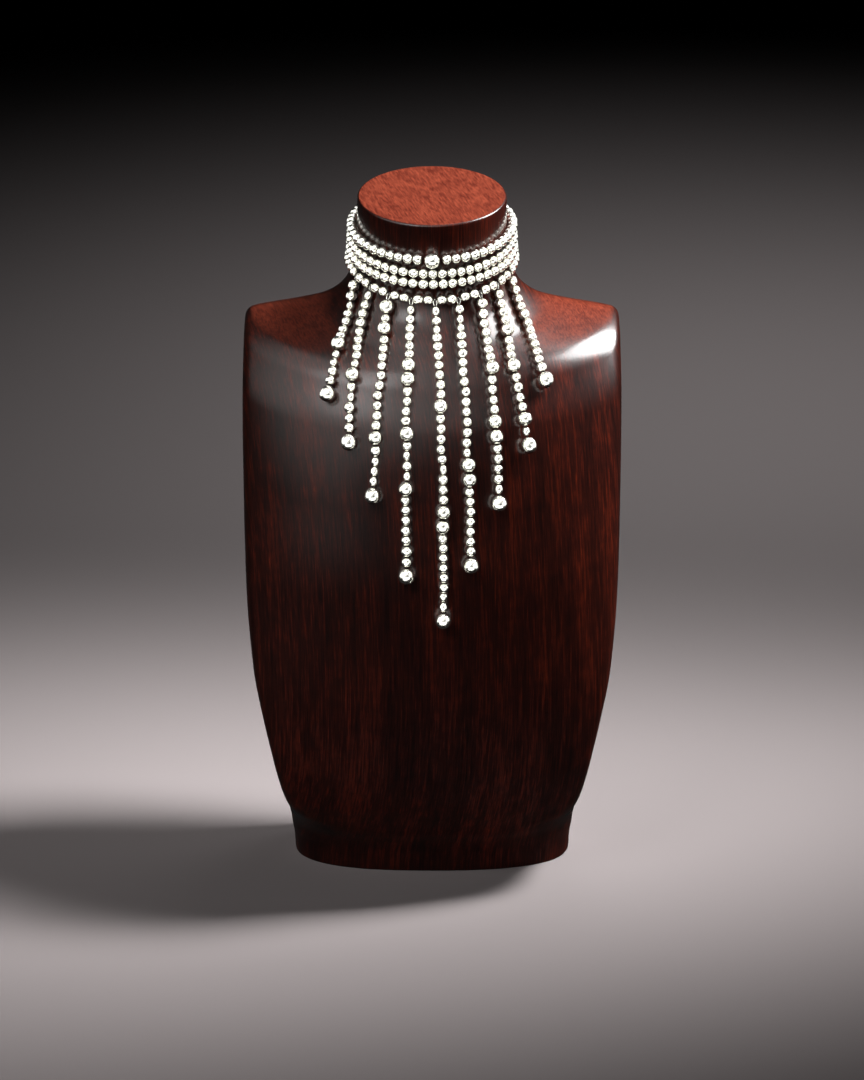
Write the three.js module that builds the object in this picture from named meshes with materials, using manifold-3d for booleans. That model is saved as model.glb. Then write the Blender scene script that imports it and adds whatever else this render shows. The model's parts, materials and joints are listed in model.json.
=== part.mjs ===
// A beaded silver choker with a fringe of nine strands, on a carved wooden neck bust.
// Millimetres, +Z up, the front towards -Y, the origin in the middle of the bust's foot on the floor.
import * as THREE from "three";
import { mergeVertices } from "three/addons/utils/BufferGeometryUtils.js";
import Module from "manifold-3d";

const wasm = await Module();
wasm.setup();

// Neck bust
const bustHeight = 460; // floor to the middle of the sloping neck top
const neckRadius = 49.8;
const neckSetback = 34; // the neck top's middle behind the foot's middle
const neckSlope = 8; // degrees that the neck top falls towards the front
const shoulderSlope = 14; // degrees that the shoulders fall towards the front
const shoulderHalfWidth = 126.5;
const footHalfWidth = 96.5;
const footHalfDepth = 45;
const chestReach = 92; // how far the chest stands before the foot's middle
const backReach = 93; // how far the shoulders stand behind it
const bustSides = 28;

// Beads, as diameter across the string and length along it
const beadAcross = 6.6;
const beadAlong = 6.5;
const slimAcross = 5.2;
const stoutAcross = 7.9;
const stoutAlong = 7.3;
const largeAcross = 10;
const largeAlong = 9.4;
const endAcross = 11.4;
const endAlong = 11;
const frontAcross = 10.4;
const frontAlong = 10.2;
const beadSides = 10;
const stringSides = 8;
const stringSteps = 24;

// Necklace
const skinGap = 0.6; // beads to the wood
const pieceGap = 0.3; // one piece of the necklace to the next
const rowPitch = 7.6; // one row to the next at the clasp
const fringeTurn = 2; // degrees of the middle strand to the wearer's left of the front
const fringePitch = 16.35; // degrees between two strands round row 4
const loopLength = 2.4; // thread from row 4 to the first bead of a strand
const threadAcross = 1.8;
const claspWidth = 9;
const claspThickness = 4.5;
const claspRim = 4; // how far the clasp stands past the outer rows

const radians = THREE.MathUtils.degToRad;

// The smooth wooden form, from the floor up. Below the shoulders the side cut ends it before its own width.
// height: of the section's middle; halfWidth: of its widest line; middle: y of that line;
// front, back: y on the centre line;
// fullness: the superellipse power, 2 for an ellipse;
// slope, nape: degrees that the section falls from its middle to the front, and rises from there to the back.
const formSections = [
  {
    height: 0, halfWidth: footHalfWidth, middle: 0,
    front: -footHalfDepth, back: footHalfDepth, fullness: 2.5, slope: 0, nape: 0,
  },
  {
    height: 0.03 * bustHeight, halfWidth: 1.02 * footHalfWidth, middle: 0,
    front: -1.05 * footHalfDepth, back: 1.0 * footHalfDepth, fullness: 2.5, slope: 0, nape: 0,
  },
  {
    height: 0.075 * bustHeight, halfWidth: 1.25 * footHalfWidth, middle: -0.04 * chestReach,
    front: -0.63 * chestReach, back: 1.01 * footHalfDepth, fullness: 2.4, slope: 0, nape: 0,
  },
  {
    height: 0.13 * bustHeight, halfWidth: 1.12 * shoulderHalfWidth, middle: -0.08 * chestReach,
    front: -0.79 * chestReach, back: 1.03 * footHalfDepth, fullness: 2.3, slope: 0, nape: 0,
  },
  {
    height: 0.2 * bustHeight, halfWidth: 1.2 * shoulderHalfWidth, middle: -0.1 * chestReach,
    front: -0.92 * chestReach, back: 0.54 * backReach, fullness: 2.3, slope: 0, nape: 0,
  },
  {
    height: 0.34 * bustHeight, halfWidth: 1.2 * shoulderHalfWidth, middle: -0.03 * chestReach,
    front: -1.0 * chestReach, back: 0.62 * backReach, fullness: 2.2, slope: 0.1 * shoulderSlope, nape: 0,
  },
  {
    height: 0.48 * bustHeight, halfWidth: 1.2 * shoulderHalfWidth, middle: 0.08 * chestReach,
    front: -0.98 * chestReach, back: 0.75 * backReach, fullness: 2.1, slope: 0.3 * shoulderSlope, nape: 0,
  },
  {
    height: 0.63 * bustHeight, halfWidth: 1.2 * shoulderHalfWidth, middle: 0.22 * chestReach,
    front: -0.88 * chestReach, back: 0.89 * backReach,
    fullness: 2.0, slope: 0.6 * shoulderSlope, nape: -0.2 * shoulderSlope,
  },
  {
    height: 0.75 * bustHeight, halfWidth: 1.17 * shoulderHalfWidth, middle: 0.35 * chestReach,
    front: -0.74 * chestReach, back: 0.97 * backReach,
    fullness: 1.95, slope: 0.85 * shoulderSlope, nape: -0.7 * shoulderSlope,
  },
  {
    height: 0.81 * bustHeight, halfWidth: 1.08 * shoulderHalfWidth, middle: 1.1 * neckSetback,
    front: -0.6 * chestReach, back: 1.0 * backReach,
    fullness: 1.9, slope: shoulderSlope, nape: -shoulderSlope,
  },
  {
    height: 0.828 * bustHeight, halfWidth: 0.98 * shoulderHalfWidth, middle: 1.14 * neckSetback,
    front: -0.53 * chestReach, back: 1.0 * backReach,
    fullness: 1.9, slope: shoulderSlope, nape: -shoulderSlope,
  },
  {
    height: 0.84 * bustHeight, halfWidth: 0.74 * shoulderHalfWidth, middle: 1.16 * neckSetback,
    front: -0.47 * chestReach, back: 1.0 * backReach,
    fullness: 1.9, slope: shoulderSlope, nape: -shoulderSlope,
  },
  {
    height: 0.848 * bustHeight, halfWidth: 1.51 * neckRadius, middle: 1.17 * neckSetback,
    front: -0.42 * chestReach, back: 0.99 * backReach,
    fullness: 1.95, slope: shoulderSlope, nape: -0.9 * shoulderSlope,
  },
  {
    height: 0.857 * bustHeight, halfWidth: 1.32 * neckRadius, middle: 1.17 * neckSetback,
    front: 1.17 * neckSetback - 1.45 * neckRadius, back: 0.985 * backReach,
    fullness: 2, slope: 0.97 * shoulderSlope, nape: -0.7 * shoulderSlope,
  },
  {
    height: 0.87 * bustHeight, halfWidth: 1.18 * neckRadius, middle: 1.16 * neckSetback,
    front: 1.16 * neckSetback - 1.24 * neckRadius, back: 1.16 * neckSetback + 1.05 * neckRadius,
    fullness: 2, slope: 0.92 * shoulderSlope, nape: -0.3 * shoulderSlope,
  },
  {
    height: 0.887 * bustHeight, halfWidth: 1.09 * neckRadius, middle: 1.14 * neckSetback,
    front: 1.14 * neckSetback - 1.1 * neckRadius, back: 1.14 * neckSetback + 1.04 * neckRadius,
    fullness: 2, slope: 0.85 * shoulderSlope, nape: 0.3 * shoulderSlope,
  },
  {
    height: 0.905 * bustHeight, halfWidth: 1.045 * neckRadius, middle: 1.12 * neckSetback,
    front: 1.12 * neckSetback - 1.045 * neckRadius, back: 1.12 * neckSetback + 1.03 * neckRadius,
    fullness: 2, slope: 1.35 * neckSlope, nape: 0.9 * neckSlope,
  },
  {
    height: 0.93 * bustHeight, halfWidth: 1.02 * neckRadius, middle: 1.08 * neckSetback,
    front: 1.08 * neckSetback - 1.02 * neckRadius, back: 1.08 * neckSetback + 1.02 * neckRadius,
    fullness: 2, slope: 1.2 * neckSlope, nape: neckSlope,
  },
  {
    height: bustHeight, halfWidth: neckRadius, middle: neckSetback,
    front: neckSetback - neckRadius, back: neckSetback + neckRadius,
    fullness: 2, slope: neckSlope, nape: neckSlope,
  },
];
const formLevels = [
  0, 0.03, 0.055, 0.08, 0.105, 0.135, 0.165, 0.2, 0.27, 0.34, 0.41, 0.48, 0.555, 0.63, 0.69, 0.75,
  0.785, 0.81, 0.828, 0.84, 0.848, 0.857, 0.868, 0.88, 0.892, 0.905, 0.93, 1,
];

// The side cut, from the floor up: an oval foot that grows into a flat-sided outline.
// halfWidth: the bust's outline from the front.
// reach: how far the section runs before and behind the foot's middle.
const cutSections = [
  {
    height: -0.01 * bustHeight, halfWidth: 1.0 * footHalfWidth, reach: 1.03 * footHalfDepth,
    fullness: 2.5,
  },
  {
    height: 0.02 * bustHeight, halfWidth: 1.0 * footHalfWidth, reach: 1.09 * footHalfDepth,
    fullness: 2.5,
  },
  {
    height: 0.05 * bustHeight, halfWidth: 1.01 * footHalfWidth, reach: 1.2 * footHalfDepth,
    fullness: 2.5,
  },
  {
    height: 0.08 * bustHeight, halfWidth: 1.03 * footHalfWidth, reach: 1.45 * footHalfDepth,
    fullness: 2.8,
  },
  {
    height: 0.11 * bustHeight, halfWidth: 0.803 * shoulderHalfWidth, reach: 0.95 * backReach,
    fullness: 3.3,
  },
  {
    height: 0.15 * bustHeight, halfWidth: 0.82 * shoulderHalfWidth, reach: 1.25 * backReach,
    fullness: 4.5,
  },
  {
    height: 0.2 * bustHeight, halfWidth: 0.851 * shoulderHalfWidth, reach: 1.6 * backReach,
    fullness: 6.5,
  },
  {
    height: 0.26 * bustHeight, halfWidth: 0.897 * shoulderHalfWidth, reach: 1.8 * backReach,
    fullness: 9,
  },
  {
    height: 0.34 * bustHeight, halfWidth: 0.95 * shoulderHalfWidth, reach: 1.9 * backReach,
    fullness: 12,
  },
  {
    height: 0.46 * bustHeight, halfWidth: 0.984 * shoulderHalfWidth, reach: 1.9 * backReach,
    fullness: 12,
  },
  {
    height: 0.6 * bustHeight, halfWidth: 0.995 * shoulderHalfWidth, reach: 1.9 * backReach,
    fullness: 12,
  },
  { height: 0.73 * bustHeight, halfWidth: 1.0 * shoulderHalfWidth, reach: 1.9 * backReach, fullness: 12 },
  {
    height: 0.86 * bustHeight, halfWidth: 0.997 * shoulderHalfWidth, reach: 1.9 * backReach,
    fullness: 12,
  },
  {
    height: 1.05 * bustHeight, halfWidth: 0.997 * shoulderHalfWidth, reach: 1.9 * backReach,
    fullness: 12,
  },
];
const cutLevels = [
  -0.01, 0.02, 0.05, 0.08, 0.095, 0.11, 0.13, 0.15, 0.175, 0.2, 0.23, 0.26, 0.3, 0.34, 0.4, 0.46,
  0.53, 0.6, 0.73, 0.8, 0.86, 1.05,
];

// The choker's rows, from the top one down: how far each stands above the floor at the back, side and front.
const rowTable = [
  { back: 0.974 * bustHeight, side: 0.957 * bustHeight, front: 0.9355 * bustHeight },
  {
    back: 0.974 * bustHeight - rowPitch,
    side: 0.957 * bustHeight - 1.1 * rowPitch,
    front: 0.9355 * bustHeight - 1.25 * rowPitch,
  },
  {
    back: 0.974 * bustHeight - 2 * rowPitch,
    side: 0.957 * bustHeight - 2.15 * rowPitch,
    front: 0.9355 * bustHeight - 2.2 * rowPitch,
  },
  {
    back: 0.974 * bustHeight - 3 * rowPitch,
    side: 0.957 * bustHeight - 3.15 * rowPitch,
    front: 0.9355 * bustHeight - 3.75 * rowPitch,
  },
];

// The fringe, from the wearer's right to left.
// beads: from the top, s small, t slim, m stout, L large, and then an end bead;
// foot: how far the lower end lies from the middle of the bust;
// bow: how far the strand's middle lies off a straight line.
const strandTable = [
  { beads: "mmtssssLttss", foot: -0.527 * shoulderHalfWidth, bow: -0.2 * beadAcross },
  { beads: "tssmsssstLstmss", foot: -0.42 * shoulderHalfWidth, bow: -0.6 * beadAcross },
  { beads: "LsLssssssssssLmttt", foot: -0.299 * shoulderHalfWidth, bow: -0.25 * beadAcross },
  { beads: "tsssssLLssssLststLsssssms", foot: -0.13 * shoulderHalfWidth, bow: -0.25 * beadAcross },
  { beads: "tstsssssssLssssstsssLLsssssstt", foot: 0.057 * shoulderHalfWidth, bow: 0.3 * beadAcross },
  { beads: "sttsssssssssssstLLsssssss", foot: 0.198 * shoulderHalfWidth, bow: 0.25 * beadAcross },
  { beads: "mmsssssLssssLLsssst", foot: 0.339 * shoulderHalfWidth, bow: 0.45 * beadAcross },
  { beads: "ssssLsssLssssLt", foot: 0.486 * shoulderHalfWidth, bow: 0.1 * beadAcross },
  { beads: "ssssmsssssss", foot: 0.572 * shoulderHalfWidth, bow: 0.25 * beadAcross },
];
const beadKinds = {
  s: { across: beadAcross, along: beadAlong },
  t: { across: slimAcross, along: beadAlong },
  m: { across: stoutAcross, along: stoutAlong },
  L: { across: largeAcross, along: largeAlong },
};
const endKind = { across: endAcross, along: endAlong };

const silver = new THREE.MeshStandardMaterial({ color: 0xe9e7e1, roughness: 0.12, metalness: 1 });
const mahogany = new THREE.MeshStandardMaterial({ color: 0x3a130d, roughness: 0.3, metalness: 0 });

// Smooth value of one column of a table at a height, without overshoot between its rows.
function columnAt(table, column, height) {
  const last = table.length - 1;
  if (height <= table[0].height) return table[0][column];
  if (height >= table[last].height) return table[last][column];
  const slope = (i) => (table[i + 1][column] - table[i][column]) / (table[i + 1].height - table[i].height);
  const tangent = (i) => {
    if (i === 0) return slope(0);
    if (i === last) return slope(last - 1);
    const before = slope(i - 1);
    const after = slope(i);
    return before * after <= 0 ? 0 : (2 * before * after) / (before + after);
  };
  let i = 0;
  while (height > table[i + 1].height) i += 1;
  const span = table[i + 1].height - table[i].height;
  const t = (height - table[i].height) / span;
  const a = table[i][column];
  const b = table[i + 1][column];
  return (
    a * (1 + 2 * t) * (1 - t) ** 2 +
    b * t * t * (3 - 2 * t) +
    span * (tangent(i) * t * (1 - t) ** 2 - tangent(i + 1) * t * t * (1 - t))
  );
}

// The form's section at a height of its middle.
function formAt(height) {
  const section = { height };
  for (const column of ["halfWidth", "middle", "front", "back", "fullness", "slope", "nape"])
    section[column] = columnAt(formSections, column, height);
  return section;
}

// How much higher than its middle a sloping section stands at a y.
function riseAt({ middle, slope, nape }, y) {
  return (y - middle) * Math.tan(radians(y < middle ? slope : nape));
}

// The section that passes through a point.
function sectionThrough(point) {
  let section = formAt(point.z);
  for (let i = 0; i < 12; i += 1) section = formAt(point.z - riseAt(section, point.y));
  return section;
}

// Below 0 inside the form, 0 on its surface and above 0 outside.
function formValue(point) {
  const { halfWidth, middle, front, back, fullness } = sectionThrough(point);
  const depth = point.y < middle ? middle - front : back - middle;
  return (Math.abs(point.x) / halfWidth) ** fullness + (Math.abs(point.y - middle) / depth) ** fullness - 1;
}

const probe = 0.02; // step for measuring the form's slope
function formGradient(point) {
  const along = (axis) => {
    const ahead = point.clone();
    const behind = point.clone();
    ahead[axis] += probe;
    behind[axis] -= probe;
    return (formValue(ahead) - formValue(behind)) / (2 * probe);
  };
  return new THREE.Vector3(along("x"), along("y"), along("z"));
}

// The form's surface at a point pushed a little off it.
function ontoForm(point) {
  const found = point.clone();
  for (let i = 0; i < 4; i += 1) {
    const gradient = formGradient(found);
    found.addScaledVector(gradient, -formValue(found) / gradient.lengthSq());
  }
  return found;
}

// A step down the surface that drifts sideways by a set share of it.
function stepDown(spot, drift, step) {
  const out = formGradient(spot).normalize();
  const upright = Math.hypot(out.y, out.z);
  const outward = (-out.x * drift) / upright;
  const down = Math.sqrt(Math.max(1 - drift ** 2 - outward ** 2, 0));
  const way = new THREE.Vector3(
    drift,
    (outward * out.y - down * out.z) / upright,
    (outward * out.z + down * out.y) / upright,
  );
  return ontoForm(spot.clone().addScaledVector(way, step));
}

// A point of the form's surface at an angle round the neck, 0 at the front and 90 degrees at +X.
function formPoint(angle, height) {
  const { middle } = formAt(height);
  const pointAt = (reach) =>
    new THREE.Vector3(Math.sin(angle) * reach, middle - Math.cos(angle) * reach, height);
  let inside = 0;
  let outside = 2 * shoulderHalfWidth;
  for (let i = 0; i < 30; i += 1) {
    const reach = (inside + outside) / 2;
    if (formValue(pointAt(reach)) < 0) inside = reach;
    else outside = reach;
  }
  return pointAt(inside);
}

// A closed mesh through equal rings of points, with flat ends.
function loft(rings) {
  const sides = rings[0].length;
  const points = rings.flat();
  const first = points.length;
  const last = first + 1;
  const middleOf = (ring) => ring.reduce((sum, p) => sum.add(p), new THREE.Vector3()).divideScalar(sides);
  points.push(middleOf(rings[0]), middleOf(rings[rings.length - 1]));
  const faces = [];
  for (let r = 0; r < rings.length - 1; r += 1)
    for (let i = 0; i < sides; i += 1) {
      const a = r * sides + i;
      const b = r * sides + ((i + 1) % sides);
      faces.push(a, b, b + sides, a, b + sides, a + sides);
    }
  const top = (rings.length - 1) * sides;
  for (let i = 0; i < sides; i += 1) {
    faces.push(first, (i + 1) % sides, i);
    faces.push(last, top + i, top + ((i + 1) % sides));
  }
  return new THREE.BufferGeometry().setFromPoints(points).setIndex(faces);
}

function solidOf(geometry) {
  const bare = geometry.clone();
  bare.deleteAttribute("normal");
  bare.deleteAttribute("uv");
  const merged = mergeVertices(bare, 1e-4);
  return new wasm.Manifold(
    new wasm.Mesh({
      numProp: 3,
      vertProperties: merged.attributes.position.array,
      triVerts: new Uint32Array(merged.index.array),
    }),
  );
}

function geometryOf(solid) {
  const mesh = solid.getMesh();
  return new THREE.BufferGeometry()
    .setAttribute("position", new THREE.BufferAttribute(new Float32Array(mesh.vertProperties), 3))
    .setIndex(new THREE.BufferAttribute(new Uint32Array(mesh.triVerts), 1));
}

// One section of the form or the cut as a ring of points, turned from +X towards +Y.
function sectionRing(section) {
  const { halfWidth, middle, front, back, fullness, height } = section;
  const power = 2 / fullness;
  return Array.from({ length: bustSides }, (_, i) => {
    const turn = (2 * Math.PI * i) / bustSides;
    const depth = Math.sin(turn) < 0 ? middle - front : back - middle;
    const x = Math.sign(Math.cos(turn)) * Math.abs(Math.cos(turn)) ** power * halfWidth;
    const y = middle + Math.sign(Math.sin(turn)) * Math.abs(Math.sin(turn)) ** power * depth;
    return new THREE.Vector3(x, y, height + riseAt(section, y));
  });
}

function cutAt(height) {
  const reach = columnAt(cutSections, "reach", height);
  return {
    height,
    halfWidth: columnAt(cutSections, "halfWidth", height),
    middle: 0,
    front: -reach,
    back: reach,
    fullness: columnAt(cutSections, "fullness", height),
    slope: 0,
    nape: 0,
  };
}

function bustGeometry() {
  const form = loft(formLevels.map((share) => sectionRing(formAt(share * bustHeight))));
  const cut = loft(cutLevels.map((share) => sectionRing(cutAt(share * bustHeight))));
  return geometryOf(solidOf(form).intersect(solidOf(cut)));
}

// How high a row stands at an angle round the neck.
function rowHeight({ back, side, front }, angle) {
  const turn = Math.cos(angle);
  return side + ((front - back) / 2) * turn + ((front + back) / 2 - side) * turn * turn;
}

// Middle of a row's string at an angle round the neck.
function rowPoint(row, angle, across = beadAcross) {
  const foot = formPoint(angle, rowHeight(row, angle));
  return foot.addScaledVector(formGradient(foot).normalize(), across / 2 + skinGap);
}

// A row as a plain string of its beads' thickness, between two angles round the neck.
// Its corners stand out by as much as the straight runs between them dip towards the neck.
function rowGeometry(row, from, to, steps) {
  const dip = neckRadius * (1 - Math.cos((to - from) / (2 * steps)));
  const points = Array.from({ length: steps + 1 }, (_, i) =>
    rowPoint(row, from + ((to - from) * i) / steps, beadAcross + 2 * dip),
  );
  const path = new THREE.CatmullRomCurve3(points);
  const section = new THREE.Shape(
    Array.from({ length: stringSides }, (_, i) => {
      const turn = (2 * Math.PI * (i + 0.5)) / stringSides;
      return new THREE.Vector2((beadAcross / 2) * Math.cos(turn), (beadAcross / 2) * Math.sin(turn));
    }),
  );
  return new THREE.ExtrudeGeometry(section, { steps, extrudePath: path, bevelEnabled: false });
}

// A ring of points about a middle, across an axis.
function ringAbout(middle, axis, radius) {
  const side = new THREE.Vector3(0, 1, 0).cross(axis).normalize();
  const other = axis.clone().cross(side);
  return Array.from({ length: beadSides }, (_, i) => {
    const turn = (2 * Math.PI * i) / beadSides;
    return middle
      .clone()
      .addScaledVector(side, radius * Math.cos(turn))
      .addScaledVector(other, radius * Math.sin(turn));
  });
}

const walk = beadAlong / 26; // step when a strand is laid down the wood

// The kinds of bead on a strand, from the top.
function kindsOf(beads) {
  return [...beads].map((letter) => beadKinds[letter]).concat(endKind);
}

// How far a bead's middle stands off the wood: by its own radius, or more beside a thicker bead.
function liftOf(kinds, i) {
  const next = kinds[Math.min(i + 1, kinds.length - 1)];
  return Math.max(kinds[i].across, (kinds[i].across + next.across) / 2) / 2 + skinGap;
}

// How far apart the middles of a bead and the one above it are.
function spacingOf(kinds, i) {
  if (i === 0) return beadAcross / 2 + pieceGap + loopLength + kinds[0].along / 2;
  const touching = (kinds[i - 1].along + kinds[i].along) / 2;
  return i === kinds.length - 1 ? touching + pieceGap : touching;
}

// The middles of a strand's beads, laid down the wood one after the other from row 4.
function strandMiddles({ foot, bow }, kinds, angle) {
  const row = rowTable[rowTable.length - 1];
  const length = kinds.reduce((sum, kind) => sum + kind.along, 0);
  let spot = formPoint(angle, rowHeight(row, angle));
  let run = 0;
  const straight = foot - spot.x;
  const middles = [rowPoint(row, angle)];
  kinds.forEach((kind, i) => {
    const liftNow = () => spot.clone().addScaledVector(formGradient(spot).normalize(), liftOf(kinds, i));
    while (liftNow().distanceTo(middles[i]) < spacingOf(kinds, i)) {
      spot = stepDown(spot, (straight + 4 * bow * (1 - (2 * run) / length)) / length, walk);
      run += walk;
    }
    middles.push(liftNow());
  });
  return middles;
}

// A strand's beads, each with its size, middle and axis. The end bead is the last.
function strandBeads(entry, index) {
  const angle = radians(fringeTurn + (index - (strandTable.length - 1) / 2) * fringePitch);
  const kinds = kindsOf(entry.beads);
  const [hook, ...middles] = strandMiddles(entry, kinds, angle);
  const loopStart = (beadAcross / 2 + 2 * pieceGap) / hook.distanceTo(middles[0]);
  return kinds.map((kind, i) => {
    const above = middles[Math.max(i - 1, 0)];
    const below = middles[Math.min(i + 1, kinds.length - 1)];
    return {
      ...kind,
      middle: middles[i],
      axis: below.clone().sub(above).normalize(),
      knot: hook.clone().lerp(middles[0], loopStart),
    };
  });
}

const smallRings = [[-0.3, 0.95], [0.3, 0.95]]; // share of the length from the middle, share of the radius
const largeRings = [[-0.33, 0.78], [0, 1], [0.33, 0.78]];
const waistShare = 0.5; // the neck between two beads, as a share of the slimmer one

// The ring where a bead meets the next one, or where the last one ends.
function waistRing(bead, next) {
  if (!next) {
    const end = bead.middle.clone().addScaledVector(bead.axis, bead.along / 2);
    return ringAbout(end, bead.axis, (waistShare * bead.across) / 2);
  }
  const meeting = bead.middle.clone().lerp(next.middle, bead.along / (bead.along + next.along));
  const axis = bead.axis.clone().add(next.axis).normalize();
  return ringAbout(meeting, axis, (waistShare * Math.min(bead.across, next.across)) / 2);
}

// A strand's beads in one body, narrow between each two, with the end of its thread on top.
function strandGeometry(beads) {
  const [first] = beads;
  const topEnd = first.middle.clone().addScaledVector(first.axis, -first.along / 2);
  const rings = [first.knot, topEnd].map((point) => ringAbout(point, first.axis, threadAcross / 2));
  beads.forEach((bead, i) => {
    for (const [share, size] of bead.across > stoutAcross ? largeRings : smallRings) {
      const middle = bead.middle.clone().addScaledVector(bead.axis, share * bead.along);
      rings.push(ringAbout(middle, bead.axis, (size * bead.across) / 2));
    }
    rings.push(waistRing(bead, beads[i + 1]));
  });
  return loft(rings);
}

// A single round bead, flattened a little at its two ends.
function beadGeometry({ middle, axis, across, along }) {
  const shares = [-0.48, -0.36, -0.13, 0.13, 0.36, 0.48];
  const rings = shares.map((share) =>
    ringAbout(
      middle.clone().addScaledVector(axis, share * along),
      axis,
      (across / 2) * Math.sqrt(1 - (2 * share) ** 2),
    ),
  );
  return loft(rings);
}

// The clasp behind the neck: one plain upright bar that all four rows end on.
function claspGeometry() {
  const ends = rowTable.map((row) => rowPoint(row, Math.PI));
  const low = ends[ends.length - 1].z - beadAcross / 2 - claspRim;
  const high = ends[0].z + beadAcross / 2 + claspRim;
  const napes = [0, 0.25, 0.5, 0.75, 1].map((share) => formPoint(Math.PI, low + share * (high - low)).y);
  const y = Math.max(...napes) + skinGap + claspThickness / 2;
  return new THREE.BoxGeometry(claspWidth, claspThickness, high - low).translate(0, y, (low + high) / 2);
}

const necklaceOnBust = new THREE.Group();
function addPiece(name, geometry, material) {
  const piece = new THREE.Mesh(geometry, material);
  piece.name = name;
  necklaceOnBust.add(piece);
}

addPiece("neck_bust", bustGeometry(), mahogany);

const claspHalfAngle = (claspWidth / 2 + pieceGap) / neckRadius;
const frontHalfAngle = (frontAlong / 2 + pieceGap) / neckRadius;
rowTable.forEach((row, i) => {
  const start = -Math.PI + claspHalfAngle;
  const end = Math.PI - claspHalfAngle;
  if (i > 0) {
    addPiece(`choker_row_${i + 1}`, rowGeometry(row, start, end, stringSteps), silver);
    return;
  }
  const halfSteps = Math.ceil(stringSteps / 2);
  addPiece("choker_row_1_right", rowGeometry(row, start, -frontHalfAngle, halfSteps), silver);
  addPiece("choker_row_1_left", rowGeometry(row, frontHalfAngle, end, halfSteps), silver);
});
addPiece(
  "front_bead",
  beadGeometry({
    middle: rowPoint(rowTable[0], 0, frontAcross),
    axis: new THREE.Vector3(1, 0, 0),
    across: frontAcross,
    along: frontAlong,
  }),
  silver,
);
addPiece("back_clasp", claspGeometry(), silver);

strandTable.forEach((entry, i) => {
  const beads = strandBeads(entry, i);
  const endBead = beads.pop();
  addPiece(`strand_${i + 1}`, strandGeometry(beads), silver);
  addPiece(`end_bead_${i + 1}`, beadGeometry(endBead), silver);
});

export default necklaceOnBust;
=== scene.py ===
# A beaded silver choker with a fringe of nine strands, on its carved mahogany neck bust.
# Shapes are worked out in millimetres and become metres when a mesh is made.
import json
import math
import random

import bpy
import numpy as np
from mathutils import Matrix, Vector
from mathutils.bvhtree import BVHTree

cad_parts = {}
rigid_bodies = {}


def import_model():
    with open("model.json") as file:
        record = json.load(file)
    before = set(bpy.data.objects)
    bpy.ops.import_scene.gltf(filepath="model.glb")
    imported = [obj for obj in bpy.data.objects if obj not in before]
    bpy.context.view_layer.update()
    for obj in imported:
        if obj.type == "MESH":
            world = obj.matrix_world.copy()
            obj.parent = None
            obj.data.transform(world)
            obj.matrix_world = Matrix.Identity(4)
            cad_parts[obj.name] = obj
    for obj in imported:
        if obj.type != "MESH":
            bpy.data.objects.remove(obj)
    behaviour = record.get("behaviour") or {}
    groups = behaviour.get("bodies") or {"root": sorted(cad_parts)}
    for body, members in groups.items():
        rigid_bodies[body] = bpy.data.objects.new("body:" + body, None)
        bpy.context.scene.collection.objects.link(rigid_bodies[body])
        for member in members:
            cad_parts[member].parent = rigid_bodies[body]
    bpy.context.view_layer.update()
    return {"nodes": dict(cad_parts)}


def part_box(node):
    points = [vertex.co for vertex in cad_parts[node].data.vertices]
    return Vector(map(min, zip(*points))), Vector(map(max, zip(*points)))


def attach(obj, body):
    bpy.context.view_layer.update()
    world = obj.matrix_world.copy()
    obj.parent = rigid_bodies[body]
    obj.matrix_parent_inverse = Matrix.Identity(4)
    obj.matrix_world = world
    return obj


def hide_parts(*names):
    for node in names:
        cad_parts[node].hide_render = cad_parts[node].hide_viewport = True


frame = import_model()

print("frame loaded:", len(frame["nodes"]), "nodes")

metre = 0.001  # one millimetre in metres


def toLinear(hexColour):
    channels = [int(hexColour[i:i + 2], 16) / 255 for i in (1, 3, 5)]
    return tuple(c / 12.92 if c <= 0.04045 else ((c + 0.055) / 1.055) ** 2.4 for c in channels) + (1.0,)


def perMetre(millimetres):
    return 1000 / millimetres


def addNode(tree, kind, inputs=None, **settings):
    # inputs by name or number: a Mix node has its factor at 0, numbers at 2 and 3 and colours at 6 and 7,
    # and a Map Range node has its value at 0, what it comes from at 1 and 2 and what it becomes at 3 and 4
    node = tree.nodes.new(kind)
    for name, value in settings.items():
        setattr(node, name, value)
    for socket, value in (inputs or {}).items():
        if isinstance(value, bpy.types.NodeSocket):
            tree.links.new(value, node.inputs[socket])
        else:
            node.inputs[socket].default_value = value
    return node


def newMaterial(name):
    material = bpy.data.materials.new(name)
    material.use_nodes = True
    tree = material.node_tree
    tree.nodes.clear()
    surface = addNode(tree, "ShaderNodeBsdfPrincipled")
    addNode(tree, "ShaderNodeOutputMaterial", {"Surface": surface.outputs[0]})
    return material, tree, surface


def setFinish(surface, finish):
    for socket, value in finish.items():
        surface.inputs[socket].default_value = value


def setStops(ramp, stops):
    elements = ramp.color_ramp.elements
    while len(elements) < len(stops):
        elements.new(0.5)
    for element, (place, colour) in zip(elements, stops):
        element.position = place
        element.color = toLinear(colour)


# Camera: straight in front of the bust and looking a little down on it
camera = {
    "place": (0.0, -2.4739, 1.1471),  # metres
    "downTilt": 20.4,  # degrees under the horizon
    "lens": 129.4,  # millimetres
    "sensor": 36,  # millimetres on the picture's long side
}


def makeCamera():
    data = bpy.data.cameras.new("camera")
    data.sensor_width = camera["sensor"]
    data.lens = camera["lens"]
    placed = bpy.data.objects.new("camera", data)
    placed.location = camera["place"]
    placed.rotation_euler = (math.radians(90 - camera["downTilt"]), 0, 0)
    bpy.context.scene.collection.objects.link(placed)
    bpy.context.scene.camera = placed


makeCamera()


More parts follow.
